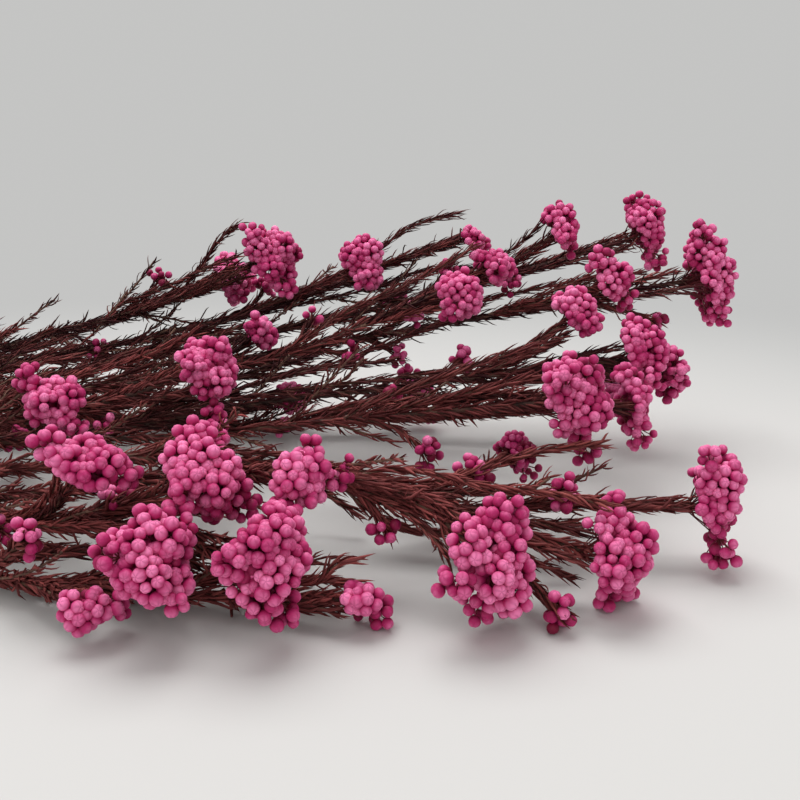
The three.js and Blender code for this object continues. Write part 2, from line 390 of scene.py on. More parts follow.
def smoothed(points, step):
    points = np.asarray(points)
    ends = np.vstack([2 * points[0] - points[1], points, 2 * points[-1] - points[-2]])
    line = []
    for i in range(1, len(ends) - 2):
        p0, p1, p2, p3 = ends[i - 1:i + 3]
        count = max(2, int(np.linalg.norm(p2 - p1) / step))
        t = np.linspace(0, 1, count, endpoint=False)[:, None]
        line.append(0.5 * (2 * p1 + (p2 - p0) * t + (2 * p0 - 5 * p1 + 4 * p2 - p3) * t ** 2
                           + (3 * p1 - p0 - 3 * p2 + p3) * t ** 3))
    return np.vstack(line + [points[-1:]])


def alongBunch(rings):
    return sorted(rings, key=lambda ring: ring["centre"][0])


def linesOf(stemName):
    points, triangles = trianglesOf(stemName)
    rings = ringsOf(points)
    thick = alongBunch(r for r in rings if r["radius"] > lineReading["shootRadius"])
    thin = [r for r in rings if r["radius"] <= lineReading["shootRadius"]]
    links = []
    for i, a in enumerate(thin):
        for j in range(i + 1, len(thin)):
            held = a["members"] | thin[j]["members"]
            shared = [t for t in triangles if all(corner in held for corner in t)]
            if any(set(t) & a["members"] and set(t) & thin[j]["members"] for t in shared):
                links.append((i, j))
    stem = smoothed([r["centre"] for r in thick], lineReading["step"])
    lines = [{"points": stem, "radii": (thick[0]["radius"], thick[-1]["radius"]), "isShoot": False}]
    owner = groupsOf(len(thin), links)
    for key in np.unique(owner):
        row = alongBunch(thin[i] for i in np.flatnonzero(owner == key))
        if len(row) < 2:
            continue
        spacing = np.linalg.norm(row[1]["centre"] - row[0]["centre"])
        away = np.abs(np.linalg.norm(stem - row[0]["centre"], axis=1) - spacing)
        away[stem[:, 0] > row[0]["centre"][0]] = np.inf  # a shoot leaves its stem behind its own first ring
        knot = stem[away.argmin()]
        shoot = smoothed([knot] + [r["centre"] for r in row], lineReading["step"])
        lines.append({"points": shoot, "radii": (row[0]["radius"], row[-1]["radius"]), "isShoot": True})
    return [{"isTwig": False, **line} for line in lines]


def lineFrames(points):
    forward = np.gradient(points, axis=0)
    forward /= np.linalg.norm(forward, axis=1)[:, None]
    side = np.cross(forward, (0, 0, 1))
    side /= np.linalg.norm(side, axis=1)[:, None]
    return forward, side, np.cross(side, forward)


branchLines = {name: linesOf(name) for name in stemNames}
print("stem lines read", sum(len(lines) for lines in branchLines.values()))


def leafStartOf(stemName):
    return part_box(stemName.replace("stem", "leaves"))[0][0]


def insideHead(point, headName, grown=1.0):
    corners = np.array(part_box(headName))
    offset = (point - corners.mean(0)) / (np.ptp(corners, axis=0) / 2 * grown)
    return np.linalg.norm(offset, axis=-1) < 1


headHolders = {}
for stemName, lines in branchLines.items():
    for line in lines:
        line["head"] = next((n for n in headNames if insideHead(line["points"][-1], n)), None)
        if line["head"]:
            headHolders[line["head"]] = line
print("heads held", len(headHolders), "of", len(headNames))


bladeTaper = np.array([0.45, 1.0, 1.0, 0.72])
cornerTurns = np.radians([90, 210, 330])
cellMargin = 0.06  # left free round each one's square of the UV map


# a square grid with a cell for each, as (column, row)
def cellGrid(count):
    columns = math.ceil(math.sqrt(count))
    cells = np.arange(count)
    return np.stack([cells % columns, cells // columns], 1), columns


def cellUv(cells, columns, local):
    inner = cellMargin + (1 - 2 * cellMargin) * local
    return (cells[:, None, None, :] + inner[None]) / columns


# the four-sided faces between rings of so many corners
def ringFaces(rings, sides):
    ring = np.arange(rings - 1)[:, None] * sides
    corner = np.arange(sides)[None]
    after = (corner + 1) % sides
    faces = np.stack([ring + corner, ring + after, ring + sides + after, ring + sides + corner], -1)
    return faces.reshape(-1, 4)


def boxUvs(u0, u1, v0, v1):
    corners = ((u0, v0), (u1, v0), (u1, v1), (u0, v1))
    return np.stack([np.stack(np.broadcast_arrays(u, v), -1) for u, v in corners], -2).reshape(-1, 4, 2)


def fanUvs(u0, u1, edge, tip):
    rows = [np.full(len(u0), edge), np.full(len(u0), edge), np.full(len(u0), tip)]
    return np.stack([np.stack([u, v], -1) for u, v in zip((u0, u1, (u0 + u1) / 2), rows)], 1)


# many thin three-sided blades at once, each drawn out to a point
def blades(paths, outward, widths, thickness):
    count, steps, _ = paths.shape
    forward = np.gradient(paths, axis=1)
    forward /= np.linalg.norm(forward, axis=2)[..., None] + 1e-12
    side = np.cross(forward, outward[:, None])
    side /= np.linalg.norm(side, axis=2)[..., None] + 1e-12
    lift = np.cross(side, forward)
    rings = steps - 1
    taper = np.interp(np.linspace(0, 1, rings), np.linspace(0, 1, len(bladeTaper)), bladeTaper)
    half = widths[:, None, None, None] / 2 * taper[None, :, None, None]
    across = side[:, :rings, None] * np.cos(cornerTurns)[None, None, :, None]
    upward = lift[:, :rings, None] * np.sin(cornerTurns)[None, None, :, None] * thickness
    body = paths[:, :rings, None] + (across + upward) * half
    verts = np.concatenate([body.reshape(count, rings * 3, 3), paths[:, -1:]], 1)
    size = rings * 3 + 1
    base = np.arange(count)[:, None, None] * size
    last = (rings - 1) * 3
    tips = np.stack([last + np.arange(3), last + (np.arange(3) + 1) % 3, np.full(3, size - 1)], -1)
    caps = np.array([[2, 1, 0]])
    quads = (base + ringFaces(rings, 3)[None]).reshape(-1, 4)
    tris = (base + np.concatenate([tips, caps])[None]).reshape(-1, 3)
    cells, columns = cellGrid(count)
    corner = np.arange(3)[None]
    v0 = np.arange(rings - 1)[:, None] / rings
    box = boxUvs(corner / 3, (corner + 1) / 3, v0, v0 + 1 / rings)
    top = 1 - 1 / rings
    thirds = np.arange(3) / 3
    point = fanUvs(thirds, thirds + 1 / 3, top, 1.0)
    cap = np.array([[[0.0, 0.0], [0.01, 0.0], [0.0, 0.01]]])
    quadUv = cellUv(cells, columns, box)
    triUv = cellUv(cells, columns, np.concatenate([point, cap]))
    along = np.append(np.repeat(np.linspace(0, top, rings), 3), 1.0)
    return verts.reshape(-1, 3), [quads, tris], [quadUv, triUv], np.tile(along, count)


def reachOf(line):
    return np.concatenate([[0], np.cumsum(np.linalg.norm(np.diff(line["points"], axis=0), axis=1))])


# the spot so far along a line, and the ways ahead, across and up there; past its end it goes straight on
def alongLine(line, distance):
    reach = reachOf(line)

    def at(vectors):
        return np.stack([np.interp(distance, reach, vectors[:, k]) for k in range(3)], -1)

    forward, side, lift = lineFrames(line["points"])
    ahead = at(forward)
    spot = at(line["points"]) + ahead * np.maximum(distance - reach[-1], 0)[..., None]
    return spot, ahead, at(side), at(lift)


def spotOn(line, distance):
    return [found[0] for found in alongLine(line, np.array([distance]))]


def lengthOf(line):
    return np.linalg.norm(np.diff(line["points"], axis=0), axis=1).sum()


needles = {
    "perMetre": 1900,
    "length": (6.0, 12.0),
    "width": (0.95, 1.55),
    "backWidth": 0.66,  # how wide the ones at the back are, beside the ones in front
    "thickness": 0.6,
    "reach": 3.6,  # how far the tips stand off a stem
    "shootReach": 2.8,
    "wild": 0.13,  # share of the needles that stick out
    "wildReach": 1.9,
    "reachSpread": (0.5, 1.15),
    "clear": 0.4 * millimetre,  # kept between the needles and the wood or the table
    "twist": 0.9,  # how much they wind round the stem, in radians
    "turnSpread": 0.25,
    "curl": 0.4,
    "wildCurl": 1.3,
    "rise": (0.7, 1.5),  # under 1 they leave the stem early, over 1 late
    "tipDroop": 0.18,
    "underHead": 0.6,  # how long the last ones are below a head
    "mostLean": 0.85,
    "shootStart": 4 * millimetre,  # how far along a shoot or a twig the first ones sit
    "twigStart": 3 * millimetre,
    "twigScale": 0.72,
    "points": 5,
    "tone": (1.3, 1.6),  # the two shapes of the tones' spread, from dark to light
    "backWarmth": 0.04,
    "frontWarmth": 0.90,
    "warmthCurve": 1.2,
    "lineWarmth": 0.22,  # how much the warmth differs from shoot to shoot
    "needleWarmth": 0.14,
}

sideTwigs = {
    "perStem": 15,
    "length": (16, 40),
    "angle": (18, 38),
    "woodRadius": 0.42,
    "needleShare": 0.55,  # their leaves are fewer and shorter than a stem's
    "needleLength": 0.62,
    "endRoom": 20 * millimetre,  # kept free at both ends of the leafy stretch
    "leastRoom": 10 * millimetre,
    "sway": 0.16,
    "rise": 1.5 * millimetre,
    "lowUnder": 20 * millimetre,  # nearer the table than this they don't point down
    "points": 9,
}

runners = {
    "perStem": 5,  # thin leafy shoots that keep beside the stem
    "from": -130,  # where along the bunch they leave
    "to": 130,
    "length": (60, 130),
    "offset": (5, 12),
    "leave": 4,  # how soon they get clear of the stem
    "flare": 0.6,
    "wander": 0.5,
    "wave": 1.2 * millimetre,
    "waves": (4, 9),
    "lowUnder": 15 * millimetre,
    "points": 14,
}

bundles = {
    "perHead": 2,  # shoots that run beside the one that holds a head, and end under it
    "length": (35, 95),
    "spread": (0.20, 0.62),
    "mostOfLine": 0.9,
    "insideHead": 0.35,  # how far under the dome they end, as a share of its depth
    "earlyShare": 0.25,  # the part of the spread that they take at once
    "leave": 6,
    "lateCurve": 1.6,
    "offTable": 3 * millimetre,
    "points": 10,
}

# how far all the grown twigs keep inside the bunch's box, and off the table and the heads
clearance = {
    "low": 2 * millimetre,
    "high": 1 * millimetre,
    "table": 3 * millimetre,
    "heads": 1.02,
}


def nearnessOf(point):
    return float(1 - np.clip((point[1] - low[1]) / span[1], 0, 1))


def growNeedles(line, start, random, scale=1.0):
    total = lengthOf(line)
    share = sideTwigs["needleShare"] if line["isTwig"] else 1.0
    count = int((total - start) * needles["perMetre"] * (0.5 + 0.5 * scale) * share)
    rank = np.arange(count)
    begin = start + (total - start) * (rank + random.uniform(-0.5, 0.5, count)) / count
    turn = rank * goldenTurn + random.normal(0, needles["turnSpread"], count)
    length = random.uniform(*needles["length"], count) * millimetre * (0.5 + 0.5 * scale)
    if line["isTwig"]:
        length *= sideTwigs["needleLength"]
    stemReach = needles["shootReach"] if line["isShoot"] else needles["reach"]
    reach = stemReach * millimetre * random.uniform(*needles["reachSpread"], count) * scale
    wild = random.random(count) < needles["wild"]
    reach = np.where(wild, reach * needles["wildReach"], reach)
    if line["head"]:
        room = total - begin - 0.3 * length
        length = np.where(room < 0, length * needles["underHead"], length)
    steps = np.linspace(0, 1, needles["points"])
    ahead = length * np.cos(np.arcsin(np.clip(reach / length, 0, needles["mostLean"])))
    distance = begin[:, None] + ahead[:, None] * steps
    spot, _, side, lift = alongLine(line, distance)
    wildCurl, curl = (random.normal(0, needles[key], count) for key in ("wildCurl", "curl"))
    curl = np.where(wild, wildCurl, curl)
    twist = needles["twist"] * random.choice([-1, 1]) + curl
    angle = turn[:, None] + twist[:, None] * steps
    out = side * np.cos(angle)[..., None] + lift * np.sin(angle)[..., None]
    rise = random.uniform(*needles["rise"], count)[:, None]
    height = reach[:, None] * steps ** rise * (1 - needles["tipDroop"] * steps ** 3)
    paths = spot + out * (height + needles["clear"])[..., None]
    paths[..., 2] = np.maximum(paths[..., 2], needles["clear"])
    width = random.uniform(*needles["width"], count) * millimetre * (0.45 + 0.55 * scale)
    nearness = nearnessOf(spot.mean((0, 1)))
    return paths, out.mean(1), width * (needles["backWidth"] + (1 - needles["backWidth"]) * nearness)


def lineOf(path, isTwig=False):
    return {
        "points": path,
        "radii": (sideTwigs["woodRadius"] * millimetre,) * 2,
        "isShoot": True,
        "isTwig": isTwig,
        "head": None,
    }


# the way out from a line at a turn round it, and never downwards where the line is low
def outFrom(side, lift, turn, isLow):
    out = side * math.cos(turn) + lift * math.sin(turn)
    if isLow:
        out = out * np.array([1, 1, -1 if out[2] < 0 else 1])
    return out


def growTwig(line, random, leafStart):
    total = lengthOf(line)
    length = random.uniform(*sideTwigs["length"]) * millimetre
    first = leafStart + sideTwigs["endRoom"]
    last = max(first + sideTwigs["leastRoom"], total - length - sideTwigs["endRoom"])
    spot, forward, side, lift = spotOn(line, random.uniform(first, last))
    out = outFrom(side, lift, random.uniform(0, 2 * math.pi), spot[2] < sideTwigs["lowUnder"])
    lean = math.radians(random.uniform(*sideTwigs["angle"]))
    t = np.linspace(0, 1, sideTwigs["points"])[:, None]
    across = np.cross(out, forward) * random.normal(0, sideTwigs["sway"])
    path = spot + length * (forward * t * math.cos(lean) + out * t * math.sin(lean) + across * t ** 2)
    path[:, 2] += sideTwigs["rise"] * t[:, 0]
    return lineOf(path, isTwig=True)


def growRunner(line, random):
    leaving = random.uniform(runners["from"], runners["to"]) * millimetre
    place = np.interp(leaving, line["points"][:, 0], reachOf(line))
    length = min(random.uniform(*runners["length"]) * millimetre, lengthOf(line) - place)
    t = np.linspace(0, 1, runners["points"])
    spot, _, side, lift = alongLine(line, place + length * t)
    turn = random.uniform(0, 2 * math.pi) + random.normal(0, runners["wander"]) * t
    isLow = spot[0][2] < runners["lowUnder"]
    out = np.stack([outFrom(side[i], lift[i], turn[i], isLow) for i in range(len(t))])
    offset = random.uniform(*runners["offset"]) * millimetre * (1 - np.exp(-runners["leave"] * t))
    wave = runners["wave"] * np.sin(t * random.uniform(*runners["waves"]) + random.uniform(0, 6))
    return lineOf(spot + out * (offset * (1 + runners["flare"] * t ** 2) + wave)[:, None])


def growBundle(line, random):
    total = lengthOf(line)
    half = np.ptp(np.array(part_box(line["head"])), axis=0) / 2
    length = min(random.uniform(*bundles["length"]) * millimetre, total * bundles["mostOfLine"])
    t = np.linspace(0, 1, bundles["points"])
    end = total - bundles["insideHead"] * half[0]
    spot, _, side, lift = alongLine(line, end - length * (1 - t))
    turn = random.uniform(0, 2 * math.pi)
    out = np.stack([outFrom(side[i], lift[i], turn, False) for i in range(len(t))])
    early = bundles["earlyShare"] * (1 - np.exp(-bundles["leave"] * t))
    late = (1 - bundles["earlyShare"]) * t ** bundles["lateCurve"]
    offset = random.uniform(*bundles["spread"]) * half.mean() * (early + late)
    path = spot + out * offset[:, None] * np.array([1, 1, half[2] / half.mean()])
    path[:, 2] = np.maximum(path[:, 2], bundles["offTable"])
    return lineOf(path)


def isClear(line):
    points = line["points"]
    inBox = (points > low + clearance["low"]).all() and (points < high - clearance["high"]).all()
    return inBox and points[:, 2].min() > clearance["table"] and not any(
        insideHead(points, name, clearance["heads"]).any() for name in headNames)


def warmthOf(stemName):
    nearness = nearnessOf(np.array(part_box(stemName)).mean(0))
    return needles["backWarmth"] + needles["frontWarmth"] * nearness ** needles["warmthCurve"]


# so many lines that keep clear, with six tries for each
def growClear(count, grow):
    grown = []
    for _ in range(6 * count):
        line = grow()
        if isClear(line):
            grown.append(line)
        if len(grown) == count:
            break
    return grown


def growLeaves(stemName, random):
    lines = branchLines[stemName]
    leafStart = leafStartOf(stemName) - lines[0]["points"][0][0]
    grown = growClear(runners["perStem"], lambda: growRunner(lines[0], random))
    grown += growClear(sideTwigs["perStem"], lambda: growTwig(lines[0], random, leafStart))
    grown += [growBundle(line, random) for line in lines if line["head"] for _ in range(bundles["perHead"])]
    grown += tuftTwigs[stemName]
    starts = [needles["shootStart"] if line["isShoot"] else leafStart for line in lines]
    parts = [growNeedles(line, start, random) for line, start in zip(lines, starts)]
    parts += [growNeedles(line, needles["twigStart"], random, needles["twigScale"]) for line in grown]
    paths, outward, width = (np.concatenate([part[i] for part in parts]) for i in range(3))
    verts, faces, uvs, along = blades(paths, outward, width, needles["thickness"])
    perBlade = len(verts) // len(paths)
    perLine = [np.full(len(part[0]), random.normal(0, needles["lineWarmth"])) for part in parts]
    tone = np.repeat(random.beta(*needles["tone"], len(paths)), perBlade)
    spread = random.normal(0, needles["needleWarmth"], len(paths))
    warmth = warmthOf(stemName) + np.concatenate(perLine) + spread
    marks = {"tone": tone, "along": along, "warmth": np.repeat(np.clip(warmth, 0, 1), perBlade)}
    name = stemName.replace("stem", "needleLeaves")
    makePiece(name, needle, verts, faces, uvs, marks, [stemName.replace("stem", "leaves")])
    return grown


wood = {
    "sides": 10,
    "ringStep": 1.6,
    "twigSides": 6,
    "twigRingStep": 4.0,
    "ridges": 0.07,
    "swell": 0.05,
    "scarEvery": 5.5,
    "scarRise": 0.16,
    "scarWidth": 0.9,
    "agedOver": 0.25,  # how far up the bark is paler, in metres
    "uvRows": 48,
}


def woodRings(line, random, isTwig):
    total = lengthOf(line)
    sides = wood["twigSides"] if isTwig else wood["sides"]
    step = (wood["twigRingStep"] if isTwig else wood["ringStep"]) * millimetre
    rings = max(4, int(total / step))
    distance = np.linspace(0, total, rings)
    spot, _, side, lift = alongLine(line, distance)
    turn = np.arange(sides) * 2 * math.pi / sides
    radius = np.interp(distance, [0, total], line["radii"])
    phase = random.uniform(0, 6.28, 3)
    ridge = np.sin(3 * turn[None] + phase[0] + distance[:, None] * 60) * 0.6
    ridge = ridge + np.sin(5 * turn[None] + phase[1] - distance[:, None] * 140) * 0.4
    swell = 1 + wood["ridges"] * ridge + wood["swell"] * np.sin(distance * 410 + phase[2])[:, None]
    rank = np.round(distance / (wood["scarEvery"] * millimetre))
    away = (distance - rank * wood["scarEvery"] * millimetre) / (wood["scarWidth"] * millimetre)
    facing = np.cos(turn[None] - rank[:, None] * goldenTurn)
    scar = np.exp(-away ** 2)[:, None] * np.clip(facing, 0, 1) ** 4 * wood["scarRise"]
    swell = swell + (0 if isTwig else scar)
    wide = radius[:, None] * swell
    body = spot[:, None] + (side[:, None] * np.cos(turn)[None, :, None]
                            + lift[:, None] * np.sin(turn)[None, :, None]) * wide[..., None]
    verts = np.concatenate([body.reshape(-1, 3), spot[:1], spot[-1:]])
    return verts, rings, sides, distance


def woodFaces(rings, sides, base):
    corner = np.arange(sides)
    after = (corner + 1) % sides
    rim = (rings - 1) * sides
    start = np.stack([after, corner, np.full(sides, rings * sides)], -1)
    end = np.stack([rim + corner, rim + after, np.full(sides, rings * sides + 1)], -1)
    return ringFaces(rings, sides) + base, np.concatenate([start, end]) + base


def makeWood(stemName, twigs, random):
    lines = [(line, False) for line in branchLines[stemName]] + [(line, True) for line in twigs]
    verts, quads, tris, quadUvs, triUvs, tones = [], [], [], [], [], []
    built = [woodRings(line, random, isTwig) for line, isTwig in lines]
    rows = wood["uvRows"]
    columns = sum(math.ceil(rings / rows) for _, rings, _, _ in built)
    base, column = 0, 0
    for part, rings, sides, distance in built:
        four, three = woodFaces(rings, sides, base)
        ring = np.arange(rings - 1)
        lane = (column + ring // rows)[:, None, None]
        u = (np.arange(sides)[None, :, None] + np.array([0, 1, 1, 0])[None, None]) / sides
        v = ((ring % rows)[:, None, None] + np.array([0, 0, 1, 1])[None, None]) / rows
        lane, u, v = np.broadcast_arrays(lane, u, v)
        quadUvs.append(np.stack([(lane + 0.05 + 0.9 * u) / columns, 0.03 + 0.94 * v], -1).reshape(-1, 4, 2))
        spotUv = np.zeros((len(three), 3, 2)) + [(column + 0.02) / columns, 0.01]
        spotUv[:, 1, 0] += 0.01 / columns
        spotUv[:, 2, 1] += 0.01
        triUvs.append(spotUv)
        tone = np.append(np.repeat(1 - np.clip(distance / wood["agedOver"], 0, 1), sides), [1, 0])
        verts.append(part)
        quads.append(four)
        tris.append(three)
        tones.append(tone)
        base += len(part)
        column += math.ceil(rings / rows)
    faces = [np.concatenate(quads), np.concatenate(tris)]
    uvs = [np.concatenate(quadUvs), np.concatenate(triUvs)]
    marks = {"tone": np.concatenate(tones)}
    name = stemName.replace("stem", "woodyStem")
    makePiece(name, bark, np.concatenate(verts), faces, uvs, marks, [stemName])


# small groups of blossoms on short twigs beside a stem
sideTufts = {
    "perStem": 2,
    "from": 0.74,  # where along the stem, as shares of its length
    "to": 0.94,
    "standOff": (6, 13),
    "blossoms": (4, 15),
    "rootBack": 1.6,  # how far behind it the twig leaves the stem, in stand-offs
    "rootBackMore": 6 * millimetre,
    "bend": 0.55,
    "lowUnder": 20 * millimetre,
    "points": 8,
}


def growTuft(stem, random):
    middle = random.uniform(sideTufts["from"], sideTufts["to"]) * lengthOf(stem)
    standOff = random.uniform(*sideTufts["standOff"]) * millimetre
    spot, _, side, lift = spotOn(stem, middle)
    out = outFrom(side, lift, random.uniform(0, 2 * math.pi), spot[2] < sideTufts["lowUnder"])
    end = spot + out * standOff
    root, ahead, _, _ = spotOn(stem, middle - sideTufts["rootBack"] * standOff - sideTufts["rootBackMore"])
    t = np.linspace(0, 1, sideTufts["points"])[:, None]
    bend = root + ahead * np.linalg.norm(end - root) * sideTufts["bend"]
    return lineOf((1 - t) ** 2 * root + 2 * t * (1 - t) * bend + t ** 2 * end)


tuftTwigs = {}
for number, stemName in enumerate(stemNames):
    random = np.random.default_rng(seeds["tufts"] + number)
    stem = branchLines[stemName][0]
    tuftTwigs[stemName] = growClear(sideTufts["perStem"], lambda: growTuft(stem, random))

for number, stemName in enumerate(stemNames):
    random = np.random.default_rng(seeds["stems"] + number)
    twigs = growLeaves(stemName, random)
    makeWood(stemName, twigs, random)
print("stems and leaves grown")


ball = {
    "frontRadius": 1.84,  # blossoms are larger at the front of the bunch than at its back
    "backRadius": 1.60,
    "spread": 0.09,  # how much the sizes differ
    "sizeLimits": (0.8, 1.14),
    "kinds": 3,
    "segments": 15,
    "bracts": 5,
    "ringAngles": (10, 24, 42, 64, 88, 112, 136, 158),
    "twist": 0.10,
    "tipDip": 0.10,
    "tipWidth": 0.42,
    "tipHole": 0.07,
    "crease": 0.075,
    "creaseSpread": (0.6, 1.4),
    "creaseAngles": (0, 15, 45, 75, 115),  # how the creases fade out towards the stalk
    "creaseDepths": (0.6, 1.0, 0.75, 0.25, 0),
}

head = {
    "closeness": 1.01,  # spacing of the blossoms for their width
    "grown": 1.08,  # how far the dome fills its solid's box
    "inset": 0.6,  # and how far it then keeps in, as a share of a blossom's radius
    "leanTo": (0.1, 0, 0.25),
    "knotArea": 115,  # square millimetres of dome for each little umbel
    "knotScatter": 0.22,
    "knotSizes": (0.60, 1.16),
    "lump": 0.44,  # how deep the dome dips between the umbels
    "lumpFall": 0.75,
    "lumpLimits": (-0.3, 1.4),
    "filled": 0.90,
    "scatter": 0.08,
    "gaps": 0.08,  # share of the blossoms that are missing
    "underside": -0.30,  # how far round to the back the blossoms go
    "innerShares": (0.70, 0.42),
    "innerUnderside": -0.1,
    "forkDepth": 0.45,
    "hubDepth": 0.8,
    "stalkWidth": 0.5,
    "nod": 0.22,  # how far the blossoms turn away from their stalks
    "squash": 0.04,
    "tone": 0.60,
    "mostUmbels": 64,
    "umbelTones": 0.09,  # how much the tones differ, from umbel to umbel and within one
    "blossomTones": 0.10,
    # the inner layers' low tones are painted shade inside the head
    "innerShadeTones": (0.15, 0.05),
    "buddedTone": -0.25,
    "budded": {"flower_head_18": 0.74},  # tight young heads, and the size of their blossoms
}

# little umbels that stand off a head, spread round its rim
sideUmbels = {
    "spacing": 5.0,  # one for each so many millimetres of the head's own reach
    "standOff": 0.92,  # how far out, as a share of that reach
    "blossoms": (4, 12),
    "forward": 0.15,
    "stalk": 2.5,
    "tones": (0.52, 0.12),
}

looseTip = {
    "blossoms": (7, 12),
    "reach": 4.2,
    "reachSpread": (0.7, 1.2),
    "usual": 9,  # the count that has this reach
    "growth": 0.45,
    "forward": 0.9,
    "closeness": 0.95,
    "sizes": (0.8, 1.05),
    "tones": (0.45, 0.2),
    "stalk": 2,
    "flowerless": ("stem_01", "stem_02"),
}


def ballTemplate(random):
    angles = np.radians(ball["ringAngles"])
    segments = ball["segments"]
    turn = np.arange(segments) * 2 * math.pi / segments
    every = segments // ball["bracts"]
    isValley = (np.arange(segments) % every == 0).astype(float)
    depth = random.uniform(*ball["creaseSpread"], segments)
    verts, fold, tip = [], [], []
    for i, angle in enumerate(angles):
        twisted = turn + ball["twist"] * i
        weight = np.interp(math.degrees(angle), ball["creaseAngles"], ball["creaseDepths"])
        dip = 1 - ball["tipDip"] * math.exp(-(angle / ball["tipWidth"]) ** 2)
        radius = dip * (1 - ball["crease"] * isValley * weight * depth)
        flat = np.sin(angle)
        ring = [flat * np.cos(twisted) * radius, flat * np.sin(twisted) * radius, np.cos(angle) * radius]
        verts.append(np.stack(ring, -1))
        # fold marks the creases, where the material paints shade; tip runs from 1 at the tip to 0 at the
        # foot, for paler tips, partly own colour and partly painted highlight, and painted shade at the foot
        fold.append(isValley * weight)
        tip.append(np.full(segments, (1 + math.cos(angle)) / 2))
    ends = np.array([[0, 0, 1 - ball["tipDip"] - ball["tipHole"]], [0, 0, -1]])
    verts = np.concatenate(verts + [ends])
    return verts, np.append(np.concatenate(fold), [1.0, 0.0]), np.append(np.concatenate(tip), [1.0, 0.0])


def ballFaces():
    segments, rings = ball["segments"], len(ball["ringAngles"])
    corner = np.arange(segments)
    after = (corner + 1) % segments
    last = (rings - 1) * segments
    crown = np.stack([corner, after, np.full(segments, rings * segments)], -1)
    foot = np.stack([last + after, last + corner, np.full(segments, rings * segments + 1)], -1)
    angle = np.array([0, *ball["ringAngles"], 180]) / 180
    u0, u1 = corner / segments, (corner + 1) / segments
    otherWay = [0, 3, 2, 1]  # the rings run down from the tip, so the faces turn the other way
    quads = ringFaces(rings, segments)[:, otherWay]
    quadUv = boxUvs(u0[None], u1[None], angle[1:-2][:, None], angle[2:-1][:, None])[:, otherWay]
    triUv = np.concatenate([fanUvs(u0, u1, angle[1], 0.0), fanUvs(u1, u0, angle[-2], 1.0)])
    return quads, np.concatenate([crown, foot]), quadUv, triUv


def unit(vectors):
    return vectors / (np.linalg.norm(vectors, axis=-1, keepdims=True) + 1e-12)


def evenDirections(count):
    rank = np.arange(count) + 0.5
    z = 1 - 2 * rank / count
    turn = rank * goldenTurn
    flat = np.sqrt(1 - z ** 2)
    return np.stack([flat * np.cos(turn), flat * np.sin(turn), z], -1)


pushing = {"rounds": 20, "share": 0.4}


# the ways to a head's little umbels, their sizes, and the dome's area in square millimetres
def knotsOf(half, random):
    p = 1.6  # the usual power for the surface of an ellipsoid
    a, b, c = (half / millimetre) ** p
    area = 4 * math.pi * ((a * b + a * c + b * c) / 3) ** (1 / p)
    count = max(4, round(area / head["knotArea"]))
    towards = unit(evenDirections(count) + random.normal(0, head["knotScatter"], (count, 3)))
    return towards, random.uniform(*head["knotSizes"], count), area


def pushedApart(spots, gap):
    offset = spots[:, None] - spots[None]
    distance = np.linalg.norm(offset, axis=2) + np.eye(len(spots))
    push = np.clip(gap - distance, 0, None) / distance
    return spots + pushing["share"] * (offset * push[..., None]).sum(1)


def packBalls(centre, half, axis, radius, random, underside):
    gap = 2 * radius * head["closeness"]
    knots, sizes, area = knotsOf(half, random)
    count = max(5, int(area / (head["filled"] * (gap / millimetre) ** 2)))
    width = 2 / math.sqrt(len(knots))
    towards = unit(evenDirections(count) + random.normal(0, head["scatter"], (count, 3)))

    def laid(towards):
        away = np.arccos(np.clip(towards @ knots.T, -1, 1)) / width
        rise = np.max(sizes - head["lumpFall"] * away ** 2, axis=1)
        dip = head["lump"] * np.clip(1 - rise, *head["lumpLimits"])
        return centre + towards * half * (1 - dip)[:, None]

    for _ in range(pushing["rounds"]):
        towards = unit((pushedApart(laid(towards), gap) - centre) / half)
    spots = laid(towards)
    facing = unit(spots - centre) @ axis
    kept = (facing > underside) & (random.random(count) > head["gaps"])
    umbel = np.argmax(towards @ knots.T, axis=1)
    forks = centre + knots * half * head["forkDepth"]
    return spots[kept], umbel[kept], forks[umbel[kept]]


def turnsTowards(axes, random):
    helper = np.where(np.abs(axes[:, 2:]) < 0.9, [[0, 0, 1.0]], [[1.0, 0, 0]])
    first = unit(np.cross(helper, axes))
    second = np.cross(axes, first)
    spin = random.uniform(0, 2 * math.pi, len(axes))[:, None]
    across = first * np.cos(spin) + second * np.sin(spin)
    return np.stack([across, second * np.cos(spin) - first * np.sin(spin), axes], -1)


templates = [ballTemplate(np.random.default_rng(seeds["blossomShapes"] + i)) for i in range(ball["kinds"])]
ballQuads, ballTris, ballQuadUv, ballTriUv = ballFaces()


